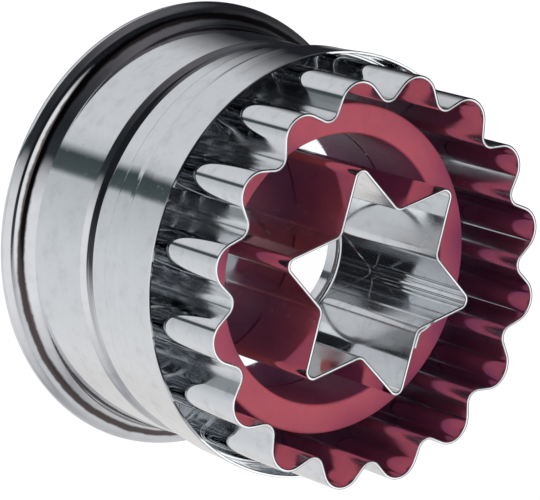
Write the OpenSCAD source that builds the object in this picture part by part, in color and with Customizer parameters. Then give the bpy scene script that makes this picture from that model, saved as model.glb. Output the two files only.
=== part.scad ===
// Linzer biscuit cutter with an ejector: a fluted ring and a six-pointed star stand on one plate
// inside a pressed housing, and a sprung plastic ring pushes the dough out from between them.
// The housing stands on its rolled rim at z = 0, and both cutting edges are level at the top.

/* [Cutting rings] */
// Height of both cutting edges above the rolled rim
edge_z = 37; // [36:0.5:38]
// Number of flutes in the outer cutter
flutes = 16; // [14:1:18]
// Radius over the crests of the flutes
flute_tip_r = 23.9; // [23.6:0.05:23.9]
// Radius to the valleys of the flutes
flute_valley_r = 21.05; // [20.8:0.05:21.4]
// Rounding of each flute's crest
flute_tip_round = 2.9; // [2.6:0.1:3]
// Rounding of each flute's valley
flute_valley_round = 1.25; // [1:0.05:1.4]
// Number of points of the star
star_points = 6; // [5:1:7]
// Radius over the star's points
star_tip_r = 13.85; // [13:0.05:14.2]
// Radius to the star's inner corners
star_valley_r = 8.85; // [8.7:0.05:9.2]
// Rounding of the star's points
star_tip_round = 1.1; // [0.8:0.1:1.4]
// Rounding of the star's inner corners
star_valley_round = 1; // [0.8:0.1:1.3]
// Thickness of the cutter strips
strip_t = 0.35; // [0.3:0.05:0.4]
// Length of the lap where the ends of each strip are welded together
lap_l = 3.6; // [2:0.2:5]

/* [Housing] */
// Radius over the rolled rim
rim_r = 27; // [26.6:0.1:28]
// Radius of the roll's section
roll_r = 1.3; // [1.2:0.05:1.4]
// Radius of the grip wall where it leaves the rim
wall_low_r = 24.5; // [24.3:0.1:24.7]
// Radius of the grip wall below the shoulder
wall_high_r = 24; // [23.9:0.05:24.2]
// Height of the shoulder where the grip wall ends
shoulder_z = 12.4; // [12:0.1:12.6]
// Radius at the bottom of the neck groove
neck_r = 22.9; // [22.8:0.05:23]
// Radius of the collar above the neck groove
collar_r = 23.7; // [23.6:0.05:23.8]
// Radius of the seat that the cutter plate is pressed into
seat_r = 24.3; // [24.3:0.01:24.4]
// Thickness of the housing's sheet
sheet_t = 0.35; // [0.3:0.05:0.4]
// Height where the front band starts
band_low_z = 20.9; // [20.5:0.1:21.2]
// Height where the front band ends
band_high_z = 27.1; // [26:0.1:28]
// Outer radius of the front band at its free edge
band_edge_r = 25; // [24.9:0.05:25.2]

/* [Cutter plate] */
// Height of the plate's upper face, which both cutters stand on
plate_z = 19.8; // [19.7:0.1:19.9]
// Thickness of the plate
plate_t = 0.6; // [0.5:0.05:0.7]
// Radius of the clear hole in the middle of the plate
hole_r = 8; // [7.5:0.1:8]
// Height of the lower end of the hole's drawn collar
hole_collar_z = 17.8; // [17.4:0.1:18.2]

/* [Ejector] */
// Height of the ejector's face when it is drawn back
face_z = 29; // [28.5:0.1:29.5]
// Outer radius of the ejector ring
ejector_r = 19.3; // [19:0.1:19.5]
// Inner radius of the ejector ring
ejector_bore_r = 15.8; // [15.6:0.1:16]
// Thickness of the ejector ring's walls
ejector_wall = 1.2; // [1:0.1:1.3]
// Number of posts that join the ejector ring to the push ring
posts = 3; // [3:1:3]
// Radius of each post
post_r = 1.7; // [1.6:0.05:1.7]
// Height of the push ring's upper face when it is drawn back
push_z = 7.5; // [7:0.1:7.8]
// Thickness of the push ring
push_t = 2; // [1.6:0.1:2.4]
// Outer radius of the push ring
push_r = 22; // [21.8:0.1:22]
// Inner radius of the push ring
push_bore_r = 18.8; // [18.5:0.1:19]

/* [Return spring] */
// Diameter of the spring wire
wire_d = 0.9; // [0.7:0.1:0.9]
// Mean radius of the coil
coil_r = 21; // [20.9:0.05:21]
// Turns of the coil, with half a closed turn at each end
coil_turns = 3; // [2.5:0.5:3]

/* [Hidden] */
$fn = 96;
eps = 0.01;
run_gap = 0.1;
slot_gap = 0.1;

// The roll of the rim, closed round a wire
roll_centre = [rim_r - roll_r, roll_r - 0.1];
roll_open_angle = 146;
rim_wire_r = roll_r - sheet_t - 0.05;
// The round between the roll and the grip wall touches both
flare_round = 2;
flare_centre_r = wall_low_r + flare_round;
flare_centre_z = roll_centre.y + sqrt(pow(roll_r + flare_round, 2) - pow(flare_centre_r - roll_centre.x, 2));
flare_angle = atan2(flare_centre_z - roll_centre.y, flare_centre_r - roll_centre.x);
shoulder_round = 1.1;
neck_round = 0.45;
neck_z = shoulder_z + 1.6;
collar_round = 0.4;
collar_z = neck_z + 0.75;
collar_top_z = 17.35;
seat_low_z = 17.85;
band_t = 0.35;
housing_end_r = band_edge_r - 0.6;
lap_end_z = band_low_z + 2;

plate_r = seat_r - sheet_t;
plate_flange_z = 18.2;
plate_round = 0.4;
post_circle_r = (ejector_r + ejector_bore_r) / 2;
ejector_low_z = plate_z + 0.1;
ejector_face_t = 1.4;
face_round = 0.3;

tab_w_star = 3;
tab_w_flute = 1.6;
tab_reach = 1.6;
tab_t = strip_t;
tab_low_z = plate_z - plate_t - tab_t;
flute_tabs = 4;
star_tabs = 3;
strip_h = edge_z - plate_z;

seat_ring_t = 0.5;
seat_ring_z = tab_low_z - seat_ring_t;
seat_ring_r = 23.2;
seat_ring_bore_r = 19.9;
seat_lip_r = 21.9;
seat_lip_t = 0.4;
seat_lip_h = 0.85;

lug_r = 2.6;
screw_r = 0.9;
screw_hole_r = 1.05;
screw_head_r = 1.8;
screw_head_h = 1.2;
screw_tip_z = 12;
pilot_top_z = 13;
recess_w = 0.5;
recess_l = 2.2;
recess_depth = 0.6;

wire_sides = 8;
wire_gap = 0.03;
steps_per_turn = 36;

steel = [0.80, 0.82, 0.83];
wire_steel = [0.62, 0.63, 0.65];
red_plastic = [0.74, 0.30, 0.30];

function polar(r, a) = [r * cos(a), r * sin(a)];
function arc(c, r, a0, a1, n) = [for (i = [0:n]) c + polar(r, a0 + (a1 - a0) * i / n)];
function turn_z(p, a) = [p.x * cos(a) - p.y * sin(a), p.x * sin(a) + p.y * cos(a)];

// A line kept at distance d to the left of a path, with mitred corners
function unit(v) = v / norm(v);
function left_of(p, q) = let (u = unit(q - p)) [-u.y, u.x];
function parallel(path, d) = [
    for (i = [0:len(path) - 1])
        let (
            last = len(path) - 1,
            before = left_of(path[max(i - 1, 0)], path[max(i, 1)]),
            after = left_of(path[min(i, last - 1)], path[min(i + 1, last)]),
            m = unit(before + after)
        )
        path[i] + m * d / (m * before)
];
function reversed(path) = [for (i = [len(path) - 1:-1:0]) path[i]];

// A lobed outline: round crests and round valleys joined by straight flanks that touch both.
// inset moves the outline inwards by the same distance all round.
function crest_centre(tip_r, tip_round) = [tip_r - tip_round, 0];
function valley_centre(n, valley_r, valley_round) = polar(valley_r + valley_round, 180 / n);
function flank_angle(n, tip_r, tip_round, valley_r, valley_round) =
    let (span = valley_centre(n, valley_r, valley_round) - crest_centre(tip_r, tip_round))
    atan2(span.y, span.x) - acos((tip_round + valley_round) / norm(span));
function lobe(n, tip_r, tip_round, valley_r, valley_round, inset) =
    let (
        a = flank_angle(n, tip_r, tip_round, valley_r, valley_round),
        crest = arc(crest_centre(tip_r, tip_round), tip_round - inset, -a, a, 6),
        valley = arc(valley_centre(n, valley_r, valley_round), valley_round + inset,
                     a + 180, 360 / n + 180 - a, 6)
    )
    concat(crest, valley);
function lobed_outline(n, tip_r, tip_round, valley_r, valley_round, inset) = [
    for (k = [0:n - 1])
        for (p = lobe(n, tip_r, tip_round, valley_r, valley_round, inset))
            turn_z(p, 360 * k / n)
];
function fluted_outline(inset) =
    lobed_outline(flutes, flute_tip_r, flute_tip_round, flute_valley_r, flute_valley_round, inset);
function star_outline(inset) =
    lobed_outline(star_points, star_tip_r, star_tip_round, star_valley_r, star_valley_round, inset);

// Where the tab of each kind of cutter leaves its strip, and which way its foot points
star_flank = flank_angle(star_points, star_tip_r, star_tip_round, star_valley_r, star_valley_round);
star_flank_mid = (crest_centre(star_tip_r, star_tip_round) + polar(star_tip_round, star_flank)
    + valley_centre(star_points, star_valley_r, star_valley_round)
    - polar(star_valley_round, star_flank)) / 2;

module star_tab_frames() {
    for (k = [0:star_tabs - 1])
        rotate(360 * k / star_tabs)
            translate(star_flank_mid)
                rotate(star_flank)
                    children();
}

module flute_tab_frames() {
    for (k = [0:flute_tabs - 1])
        rotate(360 * k / flute_tabs)
            translate([flute_valley_r, 0])
                children();
}

module post_frames() {
    for (k = [0:posts - 1])
        rotate(60 + 360 * k / posts)
            translate([post_circle_r, 0])
                children();
}

// A tab that passes down through the plate and is bent outwards under it
module tab(w) {
    translate([-tab_t, -w / 2, tab_low_z])
        cube([tab_t, w, plate_z - tab_low_z + eps]);
    translate([-tab_t, -w / 2, tab_low_z])
        cube([tab_reach, w, tab_t]);
}

module tab_slot(w) {
    translate([-tab_t - slot_gap, -w / 2 - slot_gap, plate_z - plate_t - 1])
        cube([tab_t + 2 * slot_gap, w + 2 * slot_gap, plate_t + 2]);
}

// The part of a flat shape that lies within a wedge, used for the lapped end of a strip
module in_wedge(middle, length, r) {
    half = length / 2 / r * 180 / PI;
    intersection() {
        children();
        polygon([[0, 0], polar(2 * r, middle - half), polar(2 * r, middle + half)]);
    }
}

module housing() {
    roll = arc(roll_centre, roll_r, roll_open_angle - 360, flare_angle, 32);
    flare = arc([flare_centre_r, flare_centre_z], flare_round, flare_angle + 180, 180, 8);
    shoulder = arc([wall_high_r - shoulder_round, shoulder_z], shoulder_round, 0, 66, 7);
    neck = arc([neck_r + neck_round, neck_z], neck_round, 246, 114, 8);
    collar = arc([collar_r - collar_round, collar_z], collar_round, -64, 0, 4);
    seat = arc([seat_r - collar_round, seat_low_z], collar_round, -50, 0, 3);
    outside = concat(
        [for (p = roll) p],
        [for (i = [1:len(flare) - 1]) flare[i]],
        shoulder, neck, collar,
        [[collar_r, collar_top_z]],
        seat,
        [[seat_r, plate_z], [housing_end_r, band_low_z - 0.2], [housing_end_r, lap_end_z]]
    );
    wall = concat(outside, reversed(parallel(outside, sheet_t)));
    color(steel)
        rotate_extrude()
            polygon([for (p = wall) [p.x, max(p.y, 0)]]);
}

module rim_wire() {
    color(wire_steel)
        rotate_extrude()
            translate(roll_centre)
                circle(rim_wire_r);
}

module front_band() {
    low_r = housing_end_r + band_t;
    color(steel)
        rotate_extrude()
            polygon([
                [housing_end_r, band_low_z],
                [low_r - 0.1, band_low_z],
                [low_r, band_low_z + 0.15],
                [band_edge_r, band_high_z - 0.05],
                [band_edge_r - 0.05, band_high_z],
                [band_edge_r - band_t, band_high_z],
                [housing_end_r, lap_end_z + 0.1]
            ]);
}

module cutter_plate() {
    low = plate_z - plate_t;
    top_edge = arc([plate_r - plate_round, plate_z - plate_round], plate_round, 0, 90, 5);
    hole_edge = arc([hole_r + plate_t, plate_z - plate_t], plate_t, 90, 180, 6);
    color(steel)
        difference() {
            rotate_extrude()
                polygon(concat(
                    [[plate_r, plate_flange_z]],
                    top_edge,
                    hole_edge,
                    [[hole_r, hole_collar_z], [hole_r + plate_t - 0.1, hole_collar_z],
                     [hole_r + plate_t - 0.1, low - 0.15], [hole_r + plate_t + 0.1, low],
                     [plate_r - plate_t, low], [plate_r - plate_t, plate_flange_z]]
                ));
            post_frames()
                translate([0, 0, low - 1])
                    cylinder(r = post_r + run_gap, h = plate_t + 2);
            star_tab_frames()
                tab_slot(tab_w_star);
            flute_tab_frames()
                tab_slot(tab_w_flute);
        }
}

module fluted_cutter() {
    color(steel)
        union() {
            translate([0, 0, plate_z])
                linear_extrude(strip_h)
                    rotate(180 / flutes) {
                        difference() {
                            polygon(fluted_outline(0));
                            polygon(fluted_outline(strip_t));
                        }
                        in_wedge(180, lap_l, flute_tip_r)
                            difference() {
                                polygon(fluted_outline(strip_t - eps));
                                polygon(fluted_outline(2 * strip_t));
                            }
                    }
            flute_tab_frames()
                tab(tab_w_flute);
        }
}

module star_cutter() {
    color(steel)
        union() {
            translate([0, 0, plate_z])
                linear_extrude(strip_h) {
                    difference() {
                        polygon(star_outline(0));
                        polygon(star_outline(strip_t));
                    }
                    in_wedge(90, lap_l, star_valley_r)
                        difference() {
                            polygon(star_outline(-strip_t));
                            polygon(star_outline(eps));
                        }
                }
            star_tab_frames()
                tab(tab_w_star);
        }
}

module spring_seat() {
    top = seat_ring_z + seat_ring_t;
    color(steel)
        rotate_extrude()
            polygon([
                [seat_ring_bore_r, seat_ring_z],
                [seat_lip_r, seat_ring_z],
                [seat_lip_r, seat_ring_z - seat_lip_h],
                [seat_lip_r + seat_lip_t, seat_ring_z - seat_lip_h],
                [seat_lip_r + seat_lip_t, seat_ring_z],
                [seat_ring_r, seat_ring_z],
                [seat_ring_r, top],
                [seat_ring_bore_r, top]
            ]);
}

// Height of the wire's middle after t turns: the first and the last half turn lie flat
function coil_z(t) =
    let (
        low = push_z + wire_d / 2 + wire_gap,
        high = seat_ring_z - wire_d / 2 - wire_gap,
        s = min(max((t - 0.5) / (coil_turns - 1), 0), 1)
    )
    low + (high - low) * s;

module return_spring() {
    rings = coil_turns * steps_per_turn;
    points = [
        for (i = [0:rings])
            for (j = [0:wire_sides - 1])
                let (
                    t = i / steps_per_turn,
                    p = polar(wire_d / 2, 360 * j / wire_sides),
                    at = polar(coil_r + p.x, 360 * t)
                )
                [at.x, at.y, coil_z(t) + p.y]
    ];
    sides = [
        for (i = [0:rings - 1])
            for (j = [0:wire_sides - 1])
                let (a = i * wire_sides + j, b = i * wire_sides + (j + 1) % wire_sides)
                [a, a + wire_sides, b + wire_sides, b]
    ];
    start_cap = [[for (j = [0:wire_sides - 1]) j]];
    end_cap = [[for (j = [wire_sides - 1:-1:0]) rings * wire_sides + j]];
    color(wire_steel)
        polyhedron(points, concat(sides, start_cap, end_cap));
}

module ejector_ring() {
    outer_edge = arc([ejector_r - face_round, face_z - face_round], face_round, 0, 90, 3);
    inner_edge = arc([ejector_bore_r + face_round, face_z - face_round], face_round, 90, 180, 3);
    channel_z = face_z - ejector_face_t;
    color(red_plastic)
        difference() {
            union() {
                rotate_extrude()
                    polygon(concat(
                        [[ejector_r, ejector_low_z]],
                        outer_edge,
                        inner_edge,
                        [[ejector_bore_r, ejector_low_z],
                         [ejector_bore_r + ejector_wall, ejector_low_z],
                         [ejector_bore_r + ejector_wall, channel_z],
                         [ejector_r - ejector_wall, channel_z],
                         [ejector_r - ejector_wall, ejector_low_z]]
                    ));
                post_frames()
                    translate([0, 0, push_z])
                        cylinder(r = post_r, h = channel_z - push_z + eps);
            }
            post_frames()
                translate([0, 0, push_z - 1])
                    cylinder(r = screw_r, h = pilot_top_z - push_z + 1);
        }
}

module push_ring() {
    color(red_plastic)
        translate([0, 0, push_z - push_t])
            linear_extrude(push_t)
                difference() {
                    circle(push_r);
                    difference() {
                        circle(push_bore_r);
                        post_frames()
                            circle(lug_r);
                    }
                    post_frames()
                        circle(screw_hole_r);
                }
}

module push_ring_screws() {
    under_head = push_z - push_t;
    color(steel)
        post_frames()
            difference() {
                union() {
                    translate([0, 0, under_head - screw_head_h])
                        cylinder(r1 = screw_head_r - 0.5, r2 = screw_head_r, h = 0.5);
                    translate([0, 0, under_head - screw_head_h + 0.5])
                        cylinder(r = screw_head_r, h = screw_head_h - 0.5);
                    translate([0, 0, under_head - eps])
                        cylinder(r = screw_r, h = screw_tip_z - under_head - 1 + eps);
                    translate([0, 0, screw_tip_z - 1 - eps])
                        cylinder(r1 = screw_r, r2 = 0.2, h = 1);
                }
                for (a = [0, 90])
                    rotate(a)
                        translate([-recess_l / 2, -recess_w / 2, under_head - screw_head_h - eps])
                            cube([recess_l, recess_w, recess_depth + eps]);
            }
}

housing();
rim_wire();
front_band();
cutter_plate();
fluted_cutter();
star_cutter();
spring_seat();
return_spring();
ejector_ring();
push_ring();
push_ring_screws();
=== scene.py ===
"""Linzer biscuit cutter: sheet-steel pieces, spring-loaded red ejector and the studio they stand in."""

import math

import bpy
from mathutils import Matrix, Vector


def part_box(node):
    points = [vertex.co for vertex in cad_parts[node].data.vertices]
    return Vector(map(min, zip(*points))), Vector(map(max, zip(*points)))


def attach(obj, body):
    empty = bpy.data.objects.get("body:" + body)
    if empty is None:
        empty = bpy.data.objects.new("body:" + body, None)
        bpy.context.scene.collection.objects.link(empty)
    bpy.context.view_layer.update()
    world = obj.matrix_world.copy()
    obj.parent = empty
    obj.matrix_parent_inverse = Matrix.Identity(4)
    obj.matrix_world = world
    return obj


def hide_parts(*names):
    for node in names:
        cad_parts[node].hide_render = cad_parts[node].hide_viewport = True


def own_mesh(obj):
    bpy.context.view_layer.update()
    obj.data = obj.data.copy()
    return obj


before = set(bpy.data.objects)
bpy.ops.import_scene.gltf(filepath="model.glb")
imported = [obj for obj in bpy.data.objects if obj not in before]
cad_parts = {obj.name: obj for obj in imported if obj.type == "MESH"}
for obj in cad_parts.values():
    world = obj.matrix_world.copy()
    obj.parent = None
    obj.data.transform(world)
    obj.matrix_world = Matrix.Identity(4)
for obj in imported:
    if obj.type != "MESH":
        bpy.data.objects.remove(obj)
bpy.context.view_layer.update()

bl_info = {
    "name": "Linzer Biscuit Cutter",
    "version": (1, 0, 0),
    "blender": (4, 5, 0),
    "location": "View3D > Sidebar > Linzer Cutter",
    "description": "Builds a fluted biscuit cutter with a star window and a sprung ejector",
    "category": "Add Mesh",
}

MM = 0.001
FULL_TURN = math.tau
WELD_DISTANCE = 0.0008 * MM
FIXED_BODY = "cutter_body"
MOVING_BODY = "ejector"

PLATE_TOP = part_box("cutter_plate")[1].z / MM
PLATE_UNDERSIDE = PLATE_TOP - 0.6
CUTTING_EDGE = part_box("fluted_cutter")[1].z / MM
SEAT_UNDERSIDE = 18.35
FOOT_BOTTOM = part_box("star_cutter")[0].z / MM


# ---------------------------------------------------------------- settings


class HousingSizes(bpy.types.PropertyGroup):
    sheet: bpy.props.FloatProperty(
        name="Sheet Thickness",
        description="Thickness of the steel sheet of the cup and the band",
        default=0.35 * MM, min=0.1 * MM, precision=5, subtype="DISTANCE", unit="LENGTH",
    )
    roll_radius: bpy.props.FloatProperty(
        name="Rim Roll Radius",
        description="Outer radius of the bead rolled round the rim wire",
        default=1.3 * MM, min=0.5 * MM, precision=5, subtype="DISTANCE", unit="LENGTH",
    )
    rim_wire: bpy.props.FloatProperty(
        name="Rim Wire Radius",
        description="Radius of the wire inside the rolled rim",
        default=0.9 * MM, min=0.2 * MM, precision=5, subtype="DISTANCE", unit="LENGTH",
    )
    facets: bpy.props.IntProperty(
        name="Facets Round",
        description="Steps that a turned piece is spun in",
        default=240, min=24, max=360,
    )


class CutterSizes(bpy.types.PropertyGroup):
    strip: bpy.props.FloatProperty(
        name="Strip Thickness",
        description="Thickness of the cutting strips",
        default=0.35 * MM, min=0.1 * MM, precision=5, subtype="DISTANCE", unit="LENGTH",
    )
    flutes: bpy.props.IntProperty(
        name="Flutes",
        description="Number of waves round the outer cutter",
        default=16, min=6, max=32,
    )
    star_points: bpy.props.IntProperty(
        name="Star Points",
        description="Number of points of the window cutter",
        default=6, min=3, max=12,
    )
    hole_radius: bpy.props.FloatProperty(
        name="Hole Radius",
        description="Radius of the collared hole in the middle of the cutter plate",
        default=8.0 * MM, min=1.0 * MM, precision=5, subtype="DISTANCE", unit="LENGTH",
    )


class EjectorSizes(bpy.types.PropertyGroup):
    inner_radius: bpy.props.FloatProperty(
        name="Inner Radius",
        description="Radius of the opening of the ejector ring",
        default=15.8 * MM, min=5.0 * MM, precision=5, subtype="DISTANCE", unit="LENGTH",
    )
    outer_radius: bpy.props.FloatProperty(
        name="Outer Radius",
        description="Outer radius of the ejector ring",
        default=19.3 * MM, min=6.0 * MM, precision=5, subtype="DISTANCE", unit="LENGTH",
    )
    post_radius: bpy.props.FloatProperty(
        name="Post Radius",
        description="Radius of the three posts that join the ejector to its push ring",
        default=1.7 * MM, min=0.5 * MM, precision=5, subtype="DISTANCE", unit="LENGTH",
    )
    wire_radius: bpy.props.FloatProperty(
        name="Spring Wire Radius",
        description="Radius of the return spring's wire",
        default=0.45 * MM, min=0.1 * MM, precision=5, subtype="DISTANCE", unit="LENGTH",
    )
    coils: bpy.props.FloatProperty(
        name="Spring Turns",
        description="Turns of the return spring, with half a closed turn at each end",
        default=3.0, min=2.0, max=8.0,
    )


class FinishColours(bpy.types.PropertyGroup):
    tinplate: bpy.props.FloatVectorProperty(
        name="Tinplate",
        description="Colour of the bright sheet steel",
        default=(0.80, 0.815, 0.83), size=3, min=0.0, max=1.0, subtype="COLOR",
    )
    wire: bpy.props.FloatVectorProperty(
        name="Spring Wire",
        description="Colour of the drawn wire",
        default=(0.56, 0.57, 0.59), size=3, min=0.0, max=1.0, subtype="COLOR",
    )
    red: bpy.props.FloatVectorProperty(
        name="Ejector Red",
        description="Colour of the moulded red plastic",
        default=(0.43, 0.085, 0.062), size=3, min=0.0, max=1.0, subtype="COLOR",
    )


class StudioSettings(bpy.types.PropertyGroup):
    lens: bpy.props.FloatProperty(
        name="Focal Length",
        description="Focal length of the camera in millimetres",
        default=233.3, min=20.0, max=600.0,
    )
    roll: bpy.props.FloatProperty(
        name="Camera Roll",
        description="Turn of the camera about its own line of sight",
        default=math.radians(-107.38), subtype="ANGLE", unit="ROTATION",
    )
    ambient: bpy.props.FloatProperty(
        name="Ambient Light",
        description="Strength of the even light on matt surfaces",
        default=1.70, min=0.0, max=4.0,
    )


SETTINGS = {
    "linzer_housing": HousingSizes,
    "linzer_cutters": CutterSizes,
    "linzer_ejector": EjectorSizes,
    "linzer_finish": FinishColours,
    "linzer_studio": StudioSettings,
}


# ---------------------------------------------------------------- modelling


def steps_between(first, last, count):
    """count + 1 even values from first to last."""
    return [first + (last - first) * i / count for i in range(count + 1)]


def arc(centre, radius, first, last, count):
    """Points on an arc round centre, in millimetres and degrees."""
    return [
        (centre[0] + radius * math.cos(math.radians(a)), centre[1] + radius * math.sin(math.radians(a)))
        for a in steps_between(first, last, count)
    ]


def polar(radius, degrees):
    return (radius * math.cos(math.radians(degrees)), radius * math.sin(math.radians(degrees)))


def object_mode():
    if bpy.context.mode != "OBJECT":
        bpy.ops.object.mode_set(mode="OBJECT")


def clear_selection():
    object_mode()
    bpy.ops.object.select_all(action="DESELECT")


def hold(piece):
    """Makes piece the only selected and active object."""
    clear_selection()
    piece.select_set(True)
    bpy.context.view_layer.objects.active = piece


def new_piece(name):
    """Names the primitive that was just added and settles its place into its mesh."""
    piece = bpy.context.object
    piece.name = piece.data.name = name
    bpy.ops.object.transform_apply(location=True, rotation=True, scale=True)
    return piece


def edit(select):
    bpy.ops.object.mode_set(mode="EDIT")
    bpy.ops.mesh.select_mode(type=select)


def pick_faces(piece, wanted):
    """Selects the faces whose centre and normal pass the test, and stays in edit mode."""
    edit("FACE")
    bpy.ops.mesh.select_all(action="DESELECT")
    object_mode()
    for face in piece.data.polygons:
        face.select = wanted(face.center / MM, face.normal)
    edit("FACE")


def draw_line(name, points):
    """A plane is merged to one vertex, which is extruded from point to point, in millimetres."""
    clear_selection()
    bpy.ops.mesh.primitive_plane_add(size=MM, location=Vector(points[0]) * MM)
    piece = new_piece(name)
    edit("VERT")
    bpy.ops.mesh.select_all(action="SELECT")
    bpy.ops.mesh.merge(type="CENTER")
    for here, there in zip(points, points[1:]):
        move = (Vector(there) - Vector(here)) * MM
        bpy.ops.mesh.extrude_vertices_move(TRANSFORM_OT_translate={"value": move})
    return piece


def weld():
    """Merges doubles and turns the faces outwards."""
    bpy.ops.mesh.select_all(action="SELECT")
    bpy.ops.mesh.remove_doubles(threshold=WELD_DISTANCE)
    bpy.ops.mesh.normals_make_consistent(inside=False)


def braced(points, closed, reach=0.12):
    """Adds a point near each end of a long side, so that smooth shading stays flat between corners."""
    result = []
    for here, there in zip(points, points[1:] + points[:1] if closed else points[1:]):
        here, there = Vector(here), Vector(there)
        length = (there - here).length
        result.append(tuple(here))
        if length > 4 * reach:
            result += [tuple(here.lerp(there, reach / length)), tuple(there.lerp(here, reach / length))]
    return result if closed else result + [points[-1]]


def turned(name, outline, facets, closed=True):
    """Draws an outline of (radius, height) points and spins it once round the cutter's axis."""
    points = [(r, 0.0, z) for r, z in braced(outline, closed)]
    if closed:
        points.append(points[0])
    piece = draw_line(name, points)
    bpy.ops.mesh.select_all(action="SELECT")
    bpy.ops.mesh.remove_doubles(threshold=WELD_DISTANCE)
    bpy.ops.mesh.spin(steps=facets, angle=FULL_TURN, center=(0, 0, 0), axis=(0, 0, 1))
    weld()
    object_mode()
    return piece


def modify(piece, kind, **settings):
    """Adds a modifier, sets it up and applies it."""
    hold(piece)
    bpy.ops.object.modifier_add(type=kind)
    modifier = piece.modifiers[-1]
    for key, value in settings.items():
        setattr(modifier, key, value)
    bpy.ops.object.modifier_apply(modifier=modifier.name)
    return piece


def thicken(piece, thickness):
    """Gives a surface its wall, on the inner side."""
    return modify(piece, "SOLIDIFY", thickness=thickness, offset=-1.0, use_even_offset=True)


def round_edges(piece, width, segments=2, angle=50.0):
    return modify(
        piece, "BEVEL", width=width * MM, segments=segments, limit_method="ANGLE",
        angle_limit=math.radians(angle), use_clamp_overlap=True,
    )


def cut(piece, tool, operation="DIFFERENCE"):
    """Cuts or joins piece with a tool, which is then removed."""
    modify(piece, "BOOLEAN", object=tool, operation=operation, solver="EXACT")
    bpy.data.objects.remove(tool)
    return piece


def rod(name, x, y, low, high, radius, sides=48):
    clear_selection()
    bpy.ops.mesh.primitive_cylinder_add(
        vertices=sides, radius=radius * MM, depth=(high - low) * MM,
        location=(x * MM, y * MM, (low + high) / 2 * MM),
    )
    return new_piece(name)


def block(name, low, high, degrees=0.0):
    """A box between two corners, then turned about the cutter's axis."""
    clear_selection()
    size = Vector(high) - Vector(low)
    bpy.ops.mesh.primitive_cube_add(size=1.0, location=(Vector(high) + Vector(low)) / 2 * MM, scale=size * MM)
    piece = new_piece(name)
    turn_piece(piece, degrees)
    return piece


def turn_piece(piece, degrees):
    """Turns a finished shape about the cutter's axis and settles it."""
    hold(piece)
    piece.rotation_euler = (0.0, 0.0, math.radians(degrees))
    bpy.ops.object.transform_apply(location=False, rotation=True, scale=False)


def joined(piece, others):
    """Joins other shapes into piece."""
    hold(piece)
    for other in others:
        other.select_set(True)
    bpy.ops.object.join()
    return piece


def copy_of(piece, name):
    """A copy with its own mesh."""
    hold(piece)
    bpy.ops.object.duplicate(linked=False)
    twin = bpy.context.object
    twin.name = twin.data.name = name
    return twin


def dress(piece, material, body, slot, *nodes, smooth=35.0):
    """Smooths a finished piece, gives it its finish and its body, and lets it stand for its CAD nodes."""
    hold(piece)
    bpy.ops.object.shade_smooth_by_angle(angle=math.radians(smooth))
    piece.data.materials.clear()
    piece.data.materials.append(material)
    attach(piece, body)
    if nodes:
        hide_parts(*nodes)
    clear_selection()
    return piece


# ---------------------------------------------------------------- cutter outlines


def lobe_geometry(lobes, tip, tip_round, valley, valley_round):
    """Centres of one crest and one valley arc, and the direction of the flank between them."""
    crest = (tip - tip_round, 0.0)
    hollow = polar(valley + valley_round, 180.0 / lobes)
    span = Vector(hollow) - Vector(crest)
    lean = math.degrees(math.atan2(span.y, span.x) - math.acos((tip_round + valley_round) / span.length))
    return crest, hollow, lean


def rotated(points, degrees):
    turn = Matrix.Rotation(math.radians(degrees), 2)
    return [tuple(turn @ Vector(p)) for p in points]


def lobed_wall(name, lobes, tip, tip_round, valley, valley_round, low, high, thickness, turn):
    """One lobe is drawn, spun round to make the whole outline, raised and given its thickness."""
    crest, hollow, lean = lobe_geometry(lobes, tip, tip_round, valley, valley_round)
    outline = arc(crest, tip_round, -lean, lean, 22)
    outline += arc(hollow, valley_round, lean + 180.0, 360.0 / lobes + 180.0 - lean, 12)
    outline += rotated(outline[:1], 360.0 / lobes)
    piece = draw_line(name, [(x, y, low) for x, y in rotated(braced(outline, False), turn)])
    bpy.ops.mesh.select_all(action="SELECT")
    bpy.ops.mesh.spin(steps=lobes, angle=FULL_TURN, center=(0, 0, 0), axis=(0, 0, 1), dupli=True)
    bpy.ops.mesh.select_all(action="SELECT")
    bpy.ops.mesh.remove_doubles(threshold=0.02 * MM)
    raise_outline(low, high)
    weld()
    return thicken(piece, thickness)


def raise_outline(low, high):
    """Extrudes the selected edges upwards, with a short first and last stage that keep the shading flat."""
    inner = steps_between(low + 0.15, high - 0.15, 5)
    levels = [low, *inner, high]
    for here, there in zip(levels, levels[1:]):
        bpy.ops.mesh.extrude_region_move(TRANSFORM_OT_translate={"value": (0, 0, (there - here) * MM)})


def lap_strip(name, points, low, high, thickness, side):
    """A short second layer of strip where its two ends overlap."""
    piece = draw_line(name, [(x, y, low) for x, y in points])
    bpy.ops.mesh.select_all(action="SELECT")
    raise_outline(low, high)
    object_mode()
    modify(piece, "SOLIDIFY", thickness=thickness, offset=side, use_even_offset=True)
    hold(piece)
    edit("FACE")
    weld()
    object_mode()
    return round_edges(piece, 0.05)


def foot(name, across, width, reach, degrees, thickness, along=0.0):
    """A tab that comes through the plate and is bent flat under it: a small block, extruded up and out."""
    sheet = thickness / MM
    low, high = along - width / 2, along + width / 2
    piece = block(name, (across - sheet, low, FOOT_BOTTOM), (across, high, FOOT_BOTTOM + sheet))
    pick_faces(piece, lambda centre, normal: normal.z > 0.9)
    bpy.ops.mesh.extrude_region_move(
        TRANSFORM_OT_translate={"value": (0, 0, (PLATE_TOP + 0.3 - FOOT_BOTTOM - sheet) * MM)}
    )
    pick_faces(piece, lambda centre, normal: normal.x > 0.9 and centre.z < FOOT_BOTTOM + sheet)
    bpy.ops.mesh.extrude_region_move(TRANSFORM_OT_translate={"value": ((reach - sheet) * MM, 0, 0)})
    object_mode()
    round_edges(piece, 0.1)
    turn_piece(piece, degrees)
    return piece


# ---------------------------------------------------------------- finishes


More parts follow.
